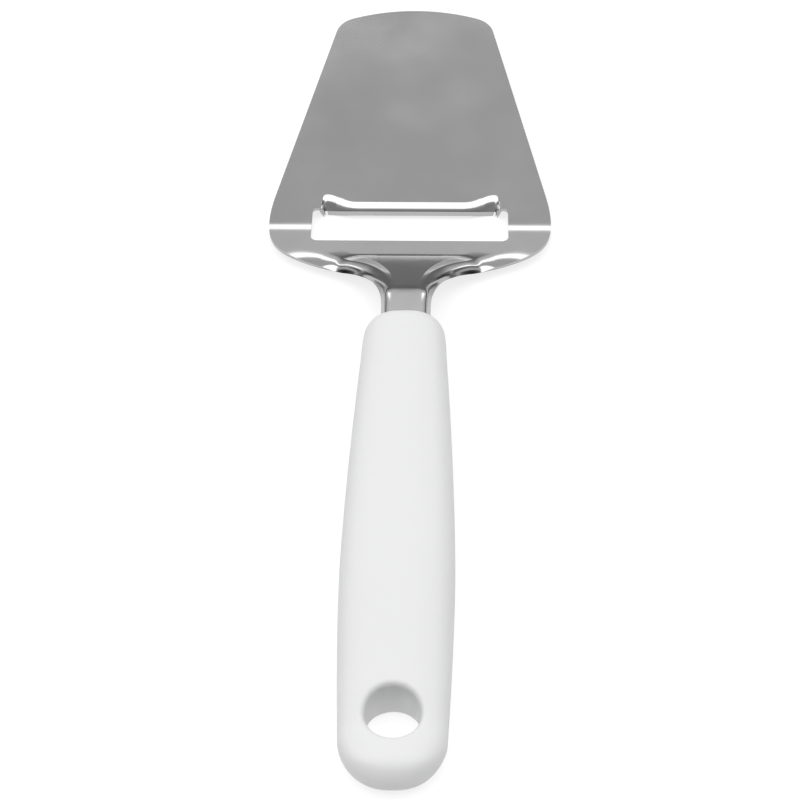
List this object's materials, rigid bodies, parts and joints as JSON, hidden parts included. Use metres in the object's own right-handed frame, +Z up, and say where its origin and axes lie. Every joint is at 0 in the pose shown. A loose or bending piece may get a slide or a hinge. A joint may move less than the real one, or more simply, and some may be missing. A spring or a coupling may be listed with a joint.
{
  "type": "cheese slicer",
  "caption": "Cheese slicer with a pressed steel blade, a slot with a lowered cutting lip, and a tapered moulded handle with a hanging hole.",
  "frame": {"origin": "centre of the bounding box's underside: on the table, in the middle of the slicer's length and width", "axes": "+Y from the handle to the blade's tip, +Z up from the table it lies on, +X to the right seen from above with the tip ahead"},
  "size_m": [0.0712, 0.2422, 0.0178],
  "materials": {
    "blade_steel": "polished stainless, fine grain",
    "handle_plastic": "white, soft gloss"
  },
  "bodies": {
    "root": {"blade": "blade_steel", "handle": "handle_plastic"}
  },
  "joints": []
}
